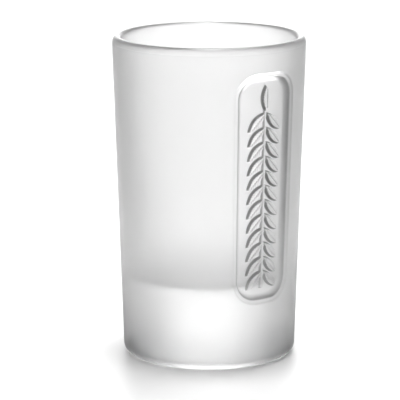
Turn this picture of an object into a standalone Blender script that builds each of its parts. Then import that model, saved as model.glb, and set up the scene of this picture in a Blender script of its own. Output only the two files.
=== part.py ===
"""Frosted shot glass: one piece of pressed glass with a sunk panel and a raised leaf sprig.

The glass stands on the XY plane with its axis on Z. The panel faces -Y. Everything is in metres.
"""

import math

import bmesh
import bpy

MM = 0.001

# Outside of the glass: a slim cone that leans outwards from the foot to the rim.
HEIGHT = 72.0 * MM
RIM_RADIUS = 21.6 * MM
FOOT_RADIUS = 19.3 * MM
FOOT_ROUNDING = 2.0 * MM

# Fire-polished rim: half an ellipse across the wall.
RIM_WALL = 2.24 * MM
RIM_ROUNDING = 1.9 * MM

# Hollow: a steeper cone than the outside, so the wall grows thicker towards the solid base.
BASE_THICKNESS = 16.5 * MM
HOLLOW_FOOT_RADIUS = 16.4 * MM
HOLLOW_ROUNDING = 1.0 * MM
HOLLOW_DISH = 1.5 * MM

# Underside: a flat ring to stand on, around a shallow push-up.
BEARING_INNER_RADIUS = 12.5 * MM
PUSH_UP = 0.8 * MM

# Sunk panel on the front: a small lip, a gentle slope, then a cove down to the floor.
PANEL_BOTTOM = 14.7 * MM
PANEL_TOP = 66.0 * MM
PANEL_HALF_WIDTH = 7.95 * MM
PANEL_CORNER = 5.6 * MM
LIP_WIDTH = 0.25 * MM
LIP_DROP = 0.18 * MM
SLOPE_DROP = 0.12 * MM
COVE_START = 0.8 * MM
COVE_WIDTH = 1.6 * MM
COVE_DROP = 1.1 * MM

# Leaf sprig that stands up from the floor of the panel.
RELIEF = 0.95 * MM
STEM_BOTTOM = 18.0 * MM
STEM_TOP = 58.0 * MM
STEM_RADIUS_BOTTOM = 0.55 * MM
STEM_RADIUS_TOP = 0.35 * MM
LEAF_PAIRS = 12
LOWEST_LEAF = 21.9 * MM
LEAF_LENGTH = 6.0 * MM
LEAF_WIDTH = 2.3 * MM
LEAF_LEAN = math.radians(135)
LEAF_ROOT = 0.2 * MM
TIP_LEAF_LENGTH = 6.0 * MM

# Fineness of the round shapes.
TURNS = 72
RIM_STEPS = 10
FOOT_STEPS = 5
HOLLOW_STEPS = 7
DISH_STEPS = 3
CORNER_STEPS = 6
COVE_STEPS = 4
FLOOR_RINGS = 4
LEAF_SEGMENTS = 8
LEAF_RINGS = 6

OUTSIDE_CLEARANCE = 4.0 * MM
OUTSIDE_FLARE = 1.0 * MM
SMALLEST_CORNER = 0.25 * MM
MERGE = 0.00001
SHARP_ANGLE = math.radians(32)

PANEL_MIDDLE = (PANEL_BOTTOM + PANEL_TOP) / 2
PANEL_DEPTH = LIP_DROP + SLOPE_DROP + COVE_DROP


def outer_radius(z):
    """Radius of the outside at height z, before the foot and the rim are rounded."""
    return FOOT_RADIUS + (RIM_RADIUS - FOOT_RADIUS) * z / HEIGHT


def clear_scene():
    for obj in list(bpy.data.objects):
        bpy.data.objects.remove(obj, do_unlink=True)


def make_collection(name):
    collection = bpy.data.collections.new(name)
    bpy.context.scene.collection.children.link(collection)
    return collection


def arc(centre, radii, start, end, steps):
    """Points (r, z) along an ellipse's arc, from the angle start to the angle end in radians."""
    points = []
    for step in range(steps + 1):
        angle = start + (end - start) * step / steps
        points.append((centre[0] + radii[0] * math.cos(angle), centre[1] + radii[1] * math.sin(angle)))
    return points


def hollow_profile():
    """From the middle of the hollow's floor out to its rounded edge, which the wall rises from."""
    edge_radius = HOLLOW_FOOT_RADIUS - HOLLOW_ROUNDING
    floor_slope = math.atan(2 * HOLLOW_DISH / edge_radius)
    dish = [
        (edge_radius * step / DISH_STEPS, BASE_THICKNESS + HOLLOW_DISH * (step / DISH_STEPS) ** 2)
        for step in range(DISH_STEPS)
    ]
    centre = (edge_radius, BASE_THICKNESS + HOLLOW_DISH + HOLLOW_ROUNDING)
    radii = (HOLLOW_ROUNDING, HOLLOW_ROUNDING)
    return dish + arc(centre, radii, floor_slope - math.pi / 2, 0, HOLLOW_STEPS)


def rim_profile():
    """Over the rim, from its inner side to its outer side."""
    shoulder = HEIGHT - RIM_ROUNDING
    centre = (outer_radius(shoulder) - RIM_WALL / 2, shoulder)
    return arc(centre, (RIM_WALL / 2, RIM_ROUNDING), math.pi, 0, RIM_STEPS)


def foot_profile():
    """Round the foot, then in under the base to the middle of the push-up."""
    centre = (outer_radius(FOOT_ROUNDING) - FOOT_ROUNDING, FOOT_ROUNDING)
    radii = (FOOT_ROUNDING, FOOT_ROUNDING)
    rounding = arc(centre, radii, 0, -math.pi / 2, FOOT_STEPS)
    push_up = [
        (BEARING_INNER_RADIUS * math.cos(turn), PUSH_UP * math.sin(turn))
        for turn in (math.pi / 2 * step / DISH_STEPS for step in range(DISH_STEPS))
    ]
    return rounding + push_up + [(0.0, PUSH_UP)]


def turned_object(name, profile, collection):
    """A profile of (r, z) points turned round Z with a Screw modifier."""
    bm = bmesh.new()
    vertices = [bm.verts.new((radius, 0.0, height)) for radius, height in profile]
    for first, second in zip(vertices, vertices[1:]):
        bm.edges.new((first, second))
    obj = object_from(bm, name, collection)
    screw = obj.modifiers.new("turn", "SCREW")
    screw.steps = TURNS
    screw.render_steps = TURNS
    screw.use_merge_vertices = True
    screw.merge_threshold = MERGE
    screw.use_smooth_shade = True
    return obj


def object_from(bm, name, collection):
    mesh = bpy.data.meshes.new(name)
    bm.to_mesh(mesh)
    bm.free()
    obj = bpy.data.objects.new(name, mesh)
    collection.objects.link(obj)
    return obj


def wrap_on_glass(bm):
    """Wraps a flat drawing round the cone: x runs round it, z up it, and y in from its surface."""
    for vertex in bm.verts:
        across, depth, height = vertex.co
        angle = across / outer_radius(PANEL_MIDDLE)
        radius = outer_radius(height) - depth
        vertex.co = (radius * math.sin(angle), -radius * math.cos(angle), height)


def as_helper(obj):
    obj.hide_render = True
    obj.display_type = "WIRE"
    return obj


def panel_outline(inset):
    """The panel's rounded outline as (x, z) points, drawn in from its edge by inset."""
    half_width = PANEL_HALF_WIDTH - inset
    half_height = (PANEL_TOP - PANEL_BOTTOM) / 2 - inset
    corner = max(PANEL_CORNER - inset, SMALLEST_CORNER)
    points = []
    for quarter, (side, end) in enumerate(((1, 1), (-1, 1), (-1, -1), (1, -1))):
        centre = (side * (half_width - corner), PANEL_MIDDLE + end * (half_height - corner))
        start = quarter * math.pi / 2
        points += arc(centre, (corner, corner), start, start + math.pi / 2, CORNER_STEPS)
        if side == end:
            points.append((0.0, centre[1] + end * corner))
    return points


def panel_levels():
    """(inset, depth) of each outline of the cutter, from outside the glass to the panel's middle."""
    levels = [(-OUTSIDE_FLARE, -OUTSIDE_CLEARANCE), (0.0, 0.0), (LIP_WIDTH, LIP_DROP)]
    for step in range(COVE_STEPS + 1):
        share = step / COVE_STEPS
        depth = LIP_DROP + SLOPE_DROP + COVE_DROP * (1 - (1 - share) ** 3)
        levels.append((COVE_START + COVE_WIDTH * share, depth))
    wall = COVE_START + COVE_WIDTH
    floor_half_width = PANEL_HALF_WIDTH - wall
    for ring in range(1, FLOOR_RINGS):
        levels.append((wall + floor_half_width * ring / FLOOR_RINGS, PANEL_DEPTH))
    return levels


def panel_cutter(collection):
    """A lofted plug: a lip and coved walls round a floor which keeps to the curve of the glass."""
    bm = bmesh.new()
    rings = []
    for inset, depth in panel_levels():
        rings.append([bm.verts.new((x, depth, z)) for x, z in panel_outline(inset)])
    for outer, inner in zip(rings, rings[1:]):
        for index in range(len(outer)):
            following = (index + 1) % len(outer)
            bm.faces.new((outer[index], outer[following], inner[following], inner[index]))
    for ring in (rings[0], rings[-1]):
        bm.faces.new(ring)
    wrap_on_glass(bm)
    bmesh.ops.recalc_face_normals(bm, faces=bm.faces)
    for face in bm.faces:
        face.smooth = True
    return as_helper(object_from(bm, "panel_cutter", collection))


def leaf(name, root, lean, length, collection):
    """A pointed leaf, thickest along its middle, growing from root=(x, z) at an angle lean from +Z."""
    bm = bmesh.new()
    bmesh.ops.create_uvsphere(bm, u_segments=LEAF_SEGMENTS, v_segments=LEAF_RINGS, radius=1.0)
    for vertex in bm.verts:
        side, out, along = vertex.co
        taper = math.sqrt(max(1 - along**2, 0.0))
        reach = (1 + along) * length / 2
        offset = side * taper * LEAF_WIDTH / 2
        across = root[0] + reach * math.sin(lean) + offset * math.cos(lean)
        height = root[1] + reach * math.cos(lean) - offset * math.sin(lean)
        vertex.co = (across, PANEL_DEPTH - out * RELIEF, height)
    wrap_on_glass(bm)
    bmesh.ops.recalc_face_normals(bm, faces=bm.faces)
    return as_helper(object_from(bm, name, collection))


def stem(collection):
    """A slim tapering rod, half sunk in the floor of the panel."""
    bm = bmesh.new()
    bmesh.ops.create_cone(
        bm,
        cap_ends=True,
        segments=LEAF_SEGMENTS,
        radius1=STEM_RADIUS_BOTTOM,
        radius2=STEM_RADIUS_TOP,
        depth=STEM_TOP - STEM_BOTTOM,
    )
    for vertex in bm.verts:
        vertex.co.y += PANEL_DEPTH
        vertex.co.z += (STEM_TOP + STEM_BOTTOM) / 2
    wrap_on_glass(bm)
    bmesh.ops.recalc_face_normals(bm, faces=bm.faces)
    return as_helper(object_from(bm, "sprig_stem", collection))


def leaf_sprig(collection):
    """A stem with pairs of leaves and one leaf at its tip."""
    stem(collection)
    pitch = (STEM_TOP - 2 * STEM_RADIUS_TOP - LOWEST_LEAF) / (LEAF_PAIRS - 1)
    for pair in range(LEAF_PAIRS):
        height = LOWEST_LEAF + pair * pitch
        for side, label in ((-1, "left"), (1, "right")):
            root = (side * LEAF_ROOT, height)
            leaf(f"sprig_leaf_{label}_{pair + 1}", root, side * LEAF_LEAN, LEAF_LENGTH, collection)
    leaf("sprig_tip_leaf", (0.0, STEM_TOP - STEM_RADIUS_BOTTOM), 0.0, TIP_LEAF_LENGTH, collection)


def boolean(obj, name, operation, other=None, group=None):
    modifier = obj.modifiers.new(name, "BOOLEAN")
    modifier.operation = operation
    modifier.solver = "EXACT"
    if group is None:
        modifier.object = other
    else:
        modifier.operand_type = "COLLECTION"
        modifier.collection = group


def settle_shape(obj):
    """Turns the object's modifiers into its mesh, smooth but for its sharp edges."""
    graph = bpy.context.evaluated_depsgraph_get()
    mesh = bpy.data.meshes.new_from_object(obj.evaluated_get(graph))
    obj.modifiers.clear()
    obj.data = mesh
    mesh.shade_smooth()
    mesh.set_sharp_from_angle(angle=SHARP_ANGLE)


def etched_glass():
    """Colourless glass with a matt, acid-etched surface."""
    material = bpy.data.materials.new("etched_glass")
    material.use_nodes = True
    shader = material.node_tree.nodes["Principled BSDF"]
    shader.inputs["Base Color"].default_value = (0.93, 0.95, 0.95, 1.0)
    shader.inputs["Metallic"].default_value = 0.0
    shader.inputs["Roughness"].default_value = 0.45
    shader.inputs["IOR"].default_value = 1.52
    shader.inputs["Transmission Weight"].default_value = 1.0
    return material


def glass_body(collection, cutters, sprig):
    profile = hollow_profile() + rim_profile() + foot_profile()
    obj = turned_object("glass_body", profile, collection)
    boolean(obj, "sink_panel", "DIFFERENCE", other=panel_cutter(cutters))
    leaf_sprig(sprig)
    boolean(obj, "raise_sprig", "UNION", group=sprig)
    settle_shape(obj)
    obj.data.materials.clear()
    obj.data.materials.append(etched_glass())
    return obj


def main():
    clear_scene()
    collection = make_collection("shot_glass")
    cutters = make_collection("cutters")
    sprig = make_collection("sprig")
    glass_body(collection, cutters, sprig)


main()
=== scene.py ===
import math

import bpy
import numpy as np
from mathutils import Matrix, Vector


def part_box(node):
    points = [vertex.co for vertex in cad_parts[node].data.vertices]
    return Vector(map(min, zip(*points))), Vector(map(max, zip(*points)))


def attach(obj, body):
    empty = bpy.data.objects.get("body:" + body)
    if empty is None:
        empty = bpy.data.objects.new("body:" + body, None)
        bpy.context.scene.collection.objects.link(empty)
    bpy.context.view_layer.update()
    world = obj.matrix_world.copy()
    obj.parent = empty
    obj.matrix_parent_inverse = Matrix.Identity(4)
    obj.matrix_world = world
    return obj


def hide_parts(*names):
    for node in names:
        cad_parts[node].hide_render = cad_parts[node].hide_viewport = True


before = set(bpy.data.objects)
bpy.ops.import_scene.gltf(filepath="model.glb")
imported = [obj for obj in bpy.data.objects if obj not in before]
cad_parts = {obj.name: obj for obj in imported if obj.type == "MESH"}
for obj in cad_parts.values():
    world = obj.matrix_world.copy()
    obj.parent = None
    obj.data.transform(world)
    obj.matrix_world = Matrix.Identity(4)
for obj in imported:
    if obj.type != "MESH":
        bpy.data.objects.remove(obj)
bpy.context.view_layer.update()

MM = 0.001
NODE = "glass_body"
LOW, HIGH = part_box(NODE)

# The glass: height and widest radius come from the node's box, and the rest repeats the CAD's dimensions.
HEIGHT = HIGH.z - LOW.z
SHOULDER_RADIUS = HIGH.x
FOOT_RADIUS = 19.3 * MM
FOOT_ROUNDING = 2.0 * MM
RIM_WALL = 2.24 * MM
RIM_ROUNDING = 1.9 * MM
BASE_THICKNESS = 16.5 * MM
HOLLOW_FOOT_RADIUS = 16.4 * MM
HOLLOW_ROUNDING = 1.0 * MM
HOLLOW_DISH = 1.5 * MM
BEARING_INNER_RADIUS = 12.5 * MM
PUSH_UP = 0.8 * MM
SHOULDER = HEIGHT - RIM_ROUNDING

# The sunk panel and the sprig that stands up from its floor.
PANEL_BOTTOM = 14.7 * MM
PANEL_TOP = 66.0 * MM
PANEL_HALF_WIDTH = 7.95 * MM
PANEL_CORNER = 5.6 * MM
LIP_WIDTH = 0.5 * MM
LIP_DROP = 0.18 * MM
SLOPE_DROP = 0.12 * MM
COVE_START = 0.8 * MM
COVE_WIDTH = 1.6 * MM
COVE_DROP = 1.1 * MM
RELIEF = 0.95 * MM
STEM_BOTTOM = 18.0 * MM
STEM_TOP = 58.0 * MM
STEM_RADIUS_BOTTOM = 0.55 * MM
STEM_RADIUS_TOP = 0.35 * MM
STEM_RISE = 1.15
STEM_END_SHARPNESS = 120
STEM_OVERRUN = (0.004, 1.01)
LEAF_PAIRS = 12
LOWEST_LEAF = 21.9 * MM
LEAF_LENGTH = 6.0 * MM
LEAF_WIDTH = 2.3 * MM
LEAF_LEAN = math.radians(135)
LEAF_ROOT = 0.2 * MM
LEAF_BEVEL = 0.3 * MM
VEIN_WIDTH = 0.13 * MM
VEIN_PITCH = 0.62 * MM
VEIN_DEPTH = 0.1 * MM
VEIN_SLANT = 0.9
MIDRIB_ENDS = 4
MIDRIB_DEPTH = 0.22 * MM
TIP_LEAF_LENGTH = 6.0 * MM
PANEL_MIDDLE = (PANEL_BOTTOM + PANEL_TOP) / 2

# How finely the surface is divided.
COLUMNS = 160
PATCH_COLUMNS = 22
PATCH_ROWS = 20
FINE_ACROSS = 6
FINE_UP = 20
PATCH_BOTTOM = PANEL_BOTTOM - 1.0 * MM
PATCH_TOP = PANEL_TOP + 1.0 * MM

# The camera's place: round the glass from its front, above it, and away from it.
CAMERA_AZIMUTH = math.radians(-37.2)
CAMERA_ELEVATION = math.radians(12.13)
CAMERA_DISTANCE = 0.5396
CAMERA_LENS = 216.0
CAMERA_SENSOR = 36.0
CAMERA_SHIFT = (-0.0229, -0.0170)

# How the curves of the profile are divided.
DISH_RINGS = 8
HOLLOW_ARC_STEPS = 14
RIM_STEPS = 20
WALL_STEPS = 12
FOOT_STEPS = 10
BEARING_STEPS = 3
PUSH_UP_STEPS = 10
RINGS_ABOVE_PATCH = 3
RINGS_BELOW_PATCH = 6

INDEX_OF_GLASS = 1.5

# The finishes. A cloud or a grain is a noise's scale and detail, and a bump is its strength and distance.
NOISE_LOW = 0.3
NOISE_HIGH = 0.7
CLOUD_RANGE = (0.9, 1.1)

# Outside: etched, rougher at the foot, changing between two heights.
ETCH_COLOUR = 0.82
ETCH_TRANSMISSION = 0.95
ETCH_ROUGHNESS = 0.33
FOOT_ROUGHNESS = 0.6
ETCH_CHANGE = (14 * MM, 30 * MM)
ETCH_CLOUD = (230, 3)
ETCH_GRAIN = (5200, 2)
ETCH_BUMP = (0.35, 0.02 * MM)

# The relief's flanks, darkened by a painted shade: its share of the colour on the steepest, and the
# slopes it runs between.
STEEP_PAINTED_SHADE = 0.35
STEEP_SLOPES = (0.7, 2.2)

# Hollow: faces this near its wall are its own. Rough at its floor, and smoother between two heights.
HOLLOW_MARGIN = 0.1 * MM
HOLLOW_FLOOR_ROUGHNESS = 0.6
HOLLOW_WALL_ROUGHNESS = 0.33
SMOOTHING = (19 * MM, 45 * MM)
SATIN_CLOUD = (180, 3)
SATIN_GRAIN = (4200, 2)
SATIN_BUMP = (0.25, 0.01 * MM)

# Rim: it starts just above the shoulder.
LIP_ROUGHNESS = 0.33
LIP_VARIATION = 0.03
LIP_CLOUD = (160, 3)
LIP_START = 0.3 * MM

# The pale surface that the glass stands on.
STAGE_HALF_SIDE = 6.0
STAGE_TONE = 0.8
STAGE_ROUGHNESS = 0.45

# The backdrop: its direction from the camera's azimuth, the brightness of the room and of the backdrop,
# what the backdrop's middle adds, and the cosines of the angles that each fades between.
BACKDROP_TURN = 180
BACKDROP_RISE = 10
ROOM = 0.12
BACKDROP = 1.0
BACKDROP_EDGE = (0.86, 0.95)
HOTSPOT = 3.1
HOTSPOT_EDGE = (0.93, 0.985)

# The softbox overhead.
TOP_RISE = 89
TOP_HEIGHT = 1.2
TOP_SIZE = (0.3, 0.3)
TOP_POWER = 13.0

# The softbox high behind the glass.
BACK_TURN = 152
BACK_RISE = 76
BACK_DISTANCE = 0.7
BACK_SIZE = (0.2, 0.2)
BACK_POWER = 2.0


def outer_radius(z):
    return FOOT_RADIUS + (SHOULDER_RADIUS - FOOT_RADIUS) * z / SHOULDER


def inner_radius(z):
    """The hollow's wall, a straight taper from its foot to the lip."""
    share = (z - BASE_THICKNESS - HOLLOW_DISH) / (SHOULDER - BASE_THICKNESS - HOLLOW_DISH)
    return HOLLOW_FOOT_RADIUS + (SHOULDER_RADIUS - RIM_WALL - HOLLOW_FOOT_RADIUS) * share


def arc(centre, radii, start, end, steps):
    """Points (r, z) along an ellipse's arc from the angle start to the angle end."""
    angles = np.linspace(start, end, steps + 1)
    return [(centre[0] + radii[0] * math.cos(a), centre[1] + radii[1] * math.sin(a)) for a in angles]


def line(first, last, steps):
    """Points after first up to and including last."""
    shares = np.linspace(0, 1, steps + 1)[1:]
    return [(first[0] + (last[0] - first[0]) * s, first[1] + (last[1] - first[1]) * s) for s in shares]


def hollow_and_rim():
    """From near the middle of the hollow's floor, up its wall and over the rim to the outer shoulder."""
    edge = HOLLOW_FOOT_RADIUS - HOLLOW_ROUNDING
    slope = math.atan(2 * HOLLOW_DISH / edge)
    shares = np.linspace(0, 1, DISH_RINGS + 1)[1:-1]
    points = [(edge * s, BASE_THICKNESS + HOLLOW_DISH * s**2) for s in shares]
    centre = (edge, BASE_THICKNESS + HOLLOW_DISH + HOLLOW_ROUNDING)
    points += arc(centre, (HOLLOW_ROUNDING, HOLLOW_ROUNDING), slope - math.pi / 2, 0, HOLLOW_ARC_STEPS)
    rim_centre = (SHOULDER_RADIUS - RIM_WALL / 2, SHOULDER)
    rim = arc(rim_centre, (RIM_WALL / 2, RIM_ROUNDING), math.pi, 0, RIM_STEPS)
    return points + line(points[-1], rim[0], WALL_STEPS)[:-1] + rim


def foot_and_underside():
    """From the top of the foot's rounding, under the bearing ring and up into the push-up."""
    centre = (outer_radius(FOOT_ROUNDING) - FOOT_ROUNDING, FOOT_ROUNDING)
    foot = arc(centre, (FOOT_ROUNDING, FOOT_ROUNDING), 0, -math.pi / 2, FOOT_STEPS)
    ring = line(foot[-1], (BEARING_INNER_RADIUS, 0.0), BEARING_STEPS)
    push = arc((0.0, 0.0), (BEARING_INNER_RADIUS, PUSH_UP), 0, math.pi / 2, PUSH_UP_STEPS)[1:-1]
    return foot + ring + push


def smooth(share):
    share = np.clip(share, 0, 1)
    return share * share * (3 - 2 * share)


def panel_distance(across, up):
    """How far inside the panel's rounded outline a point lies, negative outside."""
    x = np.abs(across) - (PANEL_HALF_WIDTH - PANEL_CORNER)
    y = np.abs(up - PANEL_MIDDLE) - ((PANEL_TOP - PANEL_BOTTOM) / 2 - PANEL_CORNER)
    outside = np.hypot(np.maximum(x, 0), np.maximum(y, 0))
    return PANEL_CORNER - outside - np.minimum(np.maximum(x, y), 0)


def leaf_height(across, up, root, lean, length):
    """A pointed leaf: a steep bevel round a flat blade, a groove along the middle and side veins."""
    x, y = across - root[0], up - root[1]
    along = (x * math.sin(lean) + y * math.cos(lean)) * 2 / length - 1
    side = x * math.cos(lean) - y * math.sin(lean)
    inside = np.abs(along) < 1
    half = np.where(inside, 1 - along**2, 0) * LEAF_WIDTH / 2
    margin = half - np.abs(side)
    blade = smooth(margin / LEAF_BEVEL)
    midrib = np.exp(-((side / VEIN_WIDTH) ** 2)) * smooth((1 - np.abs(along)) * MIDRIB_ENDS)
    veins = np.cos((along * length / 2 - np.abs(side) * VEIN_SLANT) * 2 * math.pi / VEIN_PITCH)
    marks = MIDRIB_DEPTH * midrib + VEIN_DEPTH * (1 + veins) / 2
    return np.where(inside & (margin > 0), blade * (RELIEF - marks), 0)


def stem_height(across, up):
    share = (up - STEM_BOTTOM) / (STEM_TOP - STEM_BOTTOM)
    radius = STEM_RADIUS_BOTTOM + (STEM_RADIUS_TOP - STEM_RADIUS_BOTTOM) * share
    bottom_end = smooth((share + STEM_OVERRUN[0]) * STEM_END_SHARPNESS)
    top_end = smooth((STEM_OVERRUN[1] - share) * STEM_END_SHARPNESS)
    round_back = np.sqrt(np.clip(1 - (across / radius) ** 2, 0, 1))
    return round_back * radius * STEM_RISE * (bottom_end * top_end)


def sprig_height(across, up):
    height = stem_height(across, up)
    pitch = (STEM_TOP - 2 * STEM_RADIUS_TOP - LOWEST_LEAF) / (LEAF_PAIRS - 1)
    for pair in range(LEAF_PAIRS):
        for side in (-1, 1):
            root = (side * LEAF_ROOT, LOWEST_LEAF + pair * pitch)
            height = np.maximum(height, leaf_height(across, up, root, side * LEAF_LEAN, LEAF_LENGTH))
    tip = (0.0, STEM_TOP - STEM_RADIUS_BOTTOM)
    return np.maximum(height, leaf_height(across, up, tip, 0.0, TIP_LEAF_LENGTH))


def panel_depth(angle, up):
    """How far the outside is sunk at each angle from the front and height."""
    across = angle * outer_radius(PANEL_MIDDLE)
    inside = panel_distance(across, up)
    lip = LIP_DROP * smooth((inside + LIP_WIDTH / 2) / LIP_WIDTH)
    slope = SLOPE_DROP * np.clip(inside / COVE_START, 0, 1)
    cove = COVE_DROP * (1 - (1 - np.clip((inside - COVE_START) / COVE_WIDTH, 0, 1)) ** 3)
    return lip + slope + cove - sprig_height(across, up) * smooth((inside - COVE_START) / COVE_WIDTH)


def on_circle(radius, angle, z):
    return (radius * math.sin(angle), -radius * math.cos(angle), z)


def glass_mesh():
    """The whole surface: coarse rings round the glass, and a fine patch where the panel is.

    The attribute steepness holds the slope of the panel's surface, and is 0 elsewhere.
    """
    verts, faces, steep = [], [], {}
    step = 2 * math.pi / COLUMNS

    def ring(radius, z):
        first = len(verts)
        verts.extend(on_circle(radius, (c - COLUMNS // 2) * step, z) for c in range(COLUMNS))
        return first

    def column(start, c):
        return start + c % COLUMNS

    upper = hollow_and_rim()
    above_patch = np.linspace(SHOULDER, PATCH_TOP, RINGS_ABOVE_PATCH + 1)[1:-1]
    wall_above = [(outer_radius(z), z) for z in above_patch]
    patch_heights = np.linspace(PATCH_TOP, PATCH_BOTTOM, PATCH_ROWS + 1)
    wall_beside = [(outer_radius(z), z) for z in patch_heights]
    below_patch = np.linspace(PATCH_BOTTOM, FOOT_ROUNDING, RINGS_BELOW_PATCH + 1)[1:-1]
    wall_below = [(outer_radius(z), z) for z in below_patch]
    profile = upper + wall_above + wall_beside + wall_below + foot_and_underside()
    top_row = len(upper) + len(wall_above)
    starts = [ring(r, z) for r, z in profile]
    left = COLUMNS // 2 - PATCH_COLUMNS // 2
    right = left + PATCH_COLUMNS

    # Fine patch: its border shares the coarse corners.
    across = PATCH_COLUMNS * FINE_ACROSS
    down = PATCH_ROWS * FINE_UP
    angles = (np.arange(across + 1) / FINE_ACROSS + left - COLUMNS // 2) * step
    heights = np.linspace(PATCH_TOP, PATCH_BOTTOM, down + 1)
    grid_angle, grid_z = np.meshgrid(angles, heights)
    depth = panel_depth(grid_angle, grid_z)
    radius = outer_radius(grid_z) - depth
    row_height = (PATCH_TOP - PATCH_BOTTOM) / down
    column_width = step / FINE_ACROSS * outer_radius(PANEL_MIDDLE)
    slopes = np.hypot(*np.gradient(depth, row_height, column_width))
    patch = np.zeros((down + 1, across + 1), int)
    for row in range(down + 1):
        for col in range(across + 1):
            border = row in (0, down) or col in (0, across)
            if border and row % FINE_UP == 0 and col % FINE_ACROSS == 0:
                patch[row, col] = column(starts[top_row + row // FINE_UP], left + col // FINE_ACROSS)
                continue
            patch[row, col] = len(verts)
            steep[len(verts)] = slopes[row, col]
            verts.append(on_circle(radius[row, col], grid_angle[row, col], grid_z[row, col]))
    for row in range(down):
        for col in range(across):
            upper_pair, lower_pair = patch[row, col : col + 2], patch[row + 1, col : col + 2]
            faces.append((upper_pair[0], lower_pair[0], lower_pair[1], upper_pair[1]))

    for index in range(len(profile) - 1):
        above, below = starts[index], starts[index + 1]
        in_rows = top_row <= index < top_row + PATCH_ROWS
        for c in range(COLUMNS):
            if in_rows and left <= c < right:
                continue
            corner = [column(above, c), column(below, c), column(below, c + 1), column(above, c + 1)]
            fine_row = (index - top_row) * FINE_UP
            fine_col = (c - left) * FINE_ACROSS
            if in_rows and c == left - 1:
                corner[3:3] = [patch[fine_row + k, 0] for k in range(FINE_UP - 1, 0, -1)]
            if in_rows and c == right:
                corner[1:1] = [patch[fine_row + k, across] for k in range(1, FINE_UP)]
            if index == top_row - 1 and left <= c < right:
                corner[2:2] = [patch[0, fine_col + k] for k in range(1, FINE_ACROSS)]
            if index == top_row + PATCH_ROWS and left <= c < right:
                corner.extend(patch[down, fine_col + k] for k in range(FINE_ACROSS - 1, 0, -1))
            faces.append(tuple(corner))
    verts.append((0.0, 0.0, BASE_THICKNESS))
    faces += [(len(verts) - 1, column(starts[0], c), column(starts[0], c + 1)) for c in range(COLUMNS)]
    verts.append((0.0, 0.0, PUSH_UP))
    faces += [(len(verts) - 1, column(starts[-1], c + 1), column(starts[-1], c)) for c in range(COLUMNS)]
    mesh = bpy.data.meshes.new("glass")
    mesh.from_pydata([tuple(map(float, v)) for v in verts], [], [tuple(map(int, f)) for f in faces])
    # The slope is stored for the etched glass's painted shade on the relief's flanks.
    steepness = mesh.attributes.new("steepness", "FLOAT", "POINT")
    for index, slope in steep.items():
        steepness.data[index].value = slope
    mesh.validate()
    mesh.update()
    return mesh


def paint(mesh, etched, satin, rim):
    """Gives the outside the etched glass, the hollow the satin one and the rim its own."""
    for material in (etched, satin, rim):
        mesh.materials.append(material)
    centres = np.empty(len(mesh.polygons) * 3)
    mesh.polygons.foreach_get("center", centres)
    centres = centres.reshape(-1, 3)
    radius, up = np.hypot(centres[:, 0], centres[:, 1]), centres[:, 2]
    in_hollow = (radius < inner_radius(up) + HOLLOW_MARGIN) & (up > BASE_THICKNESS - HOLLOW_MARGIN)
    finish = np.where(up > SHOULDER + LIP_START, 2, np.where(in_hollow, 1, 0))
    mesh.polygons.foreach_set("material_index", finish.astype(np.int32))
    mesh.shade_smooth()


def glass_shader(name, colour, transmission):
    material = bpy.data.materials.new(name)
    material.use_nodes = True
    nodes, links = material.node_tree.nodes, material.node_tree.links
    shader = nodes["Principled BSDF"]
    shader.inputs["Base Color"].default_value = (colour, colour, colour, 1.0)
    shader.inputs["IOR"].default_value = INDEX_OF_GLASS
    shader.inputs["Transmission Weight"].default_value = transmission
    place = nodes.new("ShaderNodeTexCoord")
    return material, nodes, links, shader, place


def noise(nodes, links, place, scale_and_detail):
    texture = nodes.new("ShaderNodeTexNoise")
    texture.inputs["Scale"].default_value, texture.inputs["Detail"].default_value = scale_and_detail
    links.new(place.outputs["Object"], texture.inputs["Vector"])
    return texture.outputs["Fac"]


def spread(nodes, links, value, low, high, from_low=NOISE_LOW, from_high=NOISE_HIGH):
    node = nodes.new("ShaderNodeMapRange")
    node.inputs["From Min"].default_value = from_low
    node.inputs["From Max"].default_value = from_high
    node.inputs["To Min"].default_value = low
    node.inputs["To Max"].default_value = high
    links.new(value, node.inputs["Value"])
    return node.outputs["Result"]


def bump(nodes, links, height, strength_and_distance):
    node = nodes.new("ShaderNodeBump")
    node.inputs["Strength"].default_value, node.inputs["Distance"].default_value = strength_and_distance
    links.new(height, node.inputs["Height"])
    return node.outputs["Normal"]


def product(nodes, links, first, second):
    node = nodes.new("ShaderNodeMath")
    node.operation = "MULTIPLY"
    links.new(first, node.inputs[0])
    links.new(second, node.inputs[1])
    return node.outputs[0]


def relief_painted_shade(nodes, links, colour, socket):
    """Paints shade into the colour where the mesh's own slope is steep, darkening the relief's flanks so
    that the relief reads.
    """
    steepness = nodes.new("ShaderNodeAttribute")
    steepness.attribute_name = "steepness"
    darkest = colour * STEEP_PAINTED_SHADE
    links.new(spread(nodes, links, steepness.outputs["Fac"], colour, darkest, *STEEP_SLOPES), socket)


def etched_glass():
    """The outside: etched, rougher towards the foot, with a fine grain and a faint cloudiness."""
    material, nodes, links, shader, place = glass_shader("etched_glass", ETCH_COLOUR, ETCH_TRANSMISSION)
    split = nodes.new("ShaderNodeSeparateXYZ")
    links.new(place.outputs["Object"], split.inputs["Vector"])
    # Painted shade: the base colour darkens on the relief's steep flanks.
    relief_painted_shade(nodes, links, ETCH_COLOUR, shader.inputs["Base Color"])
    base = spread(nodes, links, split.outputs["Z"], FOOT_ROUGHNESS, ETCH_ROUGHNESS, *ETCH_CHANGE)
    cloud = spread(nodes, links, noise(nodes, links, place, ETCH_CLOUD), *CLOUD_RANGE)
    links.new(product(nodes, links, base, cloud), shader.inputs["Roughness"])
    grain = noise(nodes, links, place, ETCH_GRAIN)
    links.new(bump(nodes, links, grain, ETCH_BUMP), shader.inputs["Normal"])
    return material


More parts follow.
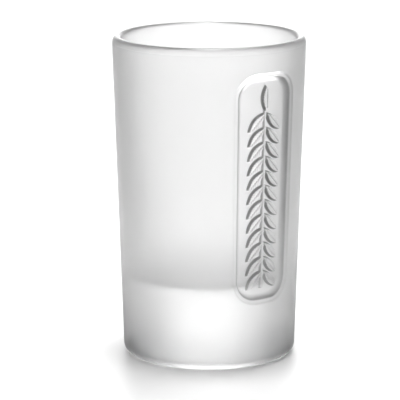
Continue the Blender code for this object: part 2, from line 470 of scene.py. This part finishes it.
def satin_glass():
    """The hollow: satin at its floor, getting smoother up the wall."""
    material, nodes, links, shader, place = glass_shader("satin_glass", 1.0, 1.0)
    split = nodes.new("ShaderNodeSeparateXYZ")
    links.new(place.outputs["Object"], split.inputs["Vector"])
    rough, less_rough = HOLLOW_FLOOR_ROUGHNESS, HOLLOW_WALL_ROUGHNESS
    base = spread(nodes, links, split.outputs["Z"], rough, less_rough, *SMOOTHING)
    cloud = spread(nodes, links, noise(nodes, links, place, SATIN_CLOUD), *CLOUD_RANGE)
    links.new(product(nodes, links, base, cloud), shader.inputs["Roughness"])
    grain = noise(nodes, links, place, SATIN_GRAIN)
    links.new(bump(nodes, links, grain, SATIN_BUMP), shader.inputs["Normal"])
    return material


def rim_glass():
    """The rim: satin, with a faint cloudiness and no grain."""
    material, nodes, links, shader, place = glass_shader("rim_glass", 1.0, 1.0)
    low, high = LIP_ROUGHNESS - LIP_VARIATION, LIP_ROUGHNESS + LIP_VARIATION
    cloud = spread(nodes, links, noise(nodes, links, place, LIP_CLOUD), low, high)
    links.new(cloud, shader.inputs["Roughness"])
    return material


def floor():
    """A pale semi-gloss surface, wide enough to fill every view."""
    side = STAGE_HALF_SIDE
    mesh = bpy.data.meshes.new("floor")
    corners = [(-side, -side, 0), (side, -side, 0), (side, side, 0), (-side, side, 0)]
    mesh.from_pydata(corners, [], [(0, 1, 2, 3)])
    obj = bpy.data.objects.new("floor", mesh)
    bpy.context.scene.collection.objects.link(obj)
    material = bpy.data.materials.new("pale_floor")
    material.use_nodes = True
    shader = material.node_tree.nodes["Principled BSDF"]
    shader.inputs["Roughness"].default_value = STAGE_ROUGHNESS
    shader.inputs["Base Color"].default_value = (STAGE_TONE, STAGE_TONE, STAGE_TONE, 1)
    mesh.materials.append(material)


def toward(azimuth, elevation, distance):
    """A place seen from the glass at an azimuth from the camera's own, in degrees."""
    turn = CAMERA_AZIMUTH + math.radians(azimuth)
    rise = math.radians(elevation)
    flat = distance * math.cos(rise)
    return Vector((flat * math.sin(turn), -flat * math.cos(turn), distance * math.sin(rise)))


def softbox(name, azimuth, elevation, distance, size, power):
    light = bpy.data.lights.new(name, "AREA")
    light.shape = "RECTANGLE"
    light.size, light.size_y = size
    light.energy = power
    obj = bpy.data.objects.new(name, light)
    bpy.context.scene.collection.objects.link(obj)
    target = Vector((0, 0, HEIGHT / 2))
    obj.location = toward(azimuth, elevation, distance) + target
    obj.rotation_euler = (target - obj.location).to_track_quat("-Z", "Y").to_euler()


def soft_step(nodes, links, value, edges, levels):
    """A smooth rise from the first level to the second as the value crosses from edge to edge."""
    node = nodes.new("ShaderNodeMapRange")
    node.interpolation_type = "SMOOTHSTEP"
    node.inputs["From Min"].default_value = edges[0]
    node.inputs["From Max"].default_value = edges[1]
    node.inputs["To Min"].default_value = levels[0]
    node.inputs["To Max"].default_value = levels[1]
    links.new(value, node.inputs["Value"])
    return node.outputs["Result"]


def studio_world():
    """Dim, even surroundings with a soft white backdrop behind the glass, brightest in its middle."""
    world = bpy.data.worlds.new("studio")
    bpy.context.scene.world = world
    world.use_nodes = True
    nodes, links = world.node_tree.nodes, world.node_tree.links
    background = nodes["Background"]
    place = nodes.new("ShaderNodeTexCoord")
    dot = nodes.new("ShaderNodeVectorMath")
    dot.operation = "DOT_PRODUCT"
    dot.inputs[1].default_value = toward(BACKDROP_TURN, BACKDROP_RISE, 1.0)
    links.new(place.outputs["Generated"], dot.inputs[0])
    wide = soft_step(nodes, links, dot.outputs["Value"], BACKDROP_EDGE, (ROOM, BACKDROP))
    middle = soft_step(nodes, links, dot.outputs["Value"], HOTSPOT_EDGE, (0.0, HOTSPOT))
    total = nodes.new("ShaderNodeMath")
    links.new(wide, total.inputs[0])
    links.new(middle, total.inputs[1])
    links.new(total.outputs[0], background.inputs["Strength"])
    background.inputs["Color"].default_value = (1, 1, 1, 1)


def camera():
    data = bpy.data.cameras.new("camera")
    data.lens = CAMERA_LENS
    data.sensor_width = CAMERA_SENSOR
    data.shift_x, data.shift_y = CAMERA_SHIFT
    obj = bpy.data.objects.new("camera", data)
    bpy.context.scene.collection.objects.link(obj)
    centre = Vector((0, 0, HEIGHT / 2))
    obj.location = centre + toward(0, math.degrees(CAMERA_ELEVATION), CAMERA_DISTANCE)
    obj.rotation_euler = (centre - obj.location).to_track_quat("-Z", "Y").to_euler()
    bpy.context.scene.camera = obj


def main():
    mesh = glass_mesh()
    paint(mesh, etched_glass(), satin_glass(), rim_glass())
    glass = bpy.data.objects.new("frosted_glass", mesh)
    bpy.context.scene.collection.objects.link(glass)
    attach(glass, "root")
    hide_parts(NODE)
    floor()
    studio_world()
    softbox("top", 0, TOP_RISE, TOP_HEIGHT, TOP_SIZE, TOP_POWER)
    softbox("back", BACK_TURN, BACK_RISE, BACK_DISTANCE, BACK_SIZE, BACK_POWER)
    camera()
    bpy.context.scene.view_settings.view_transform = "Standard"


main()
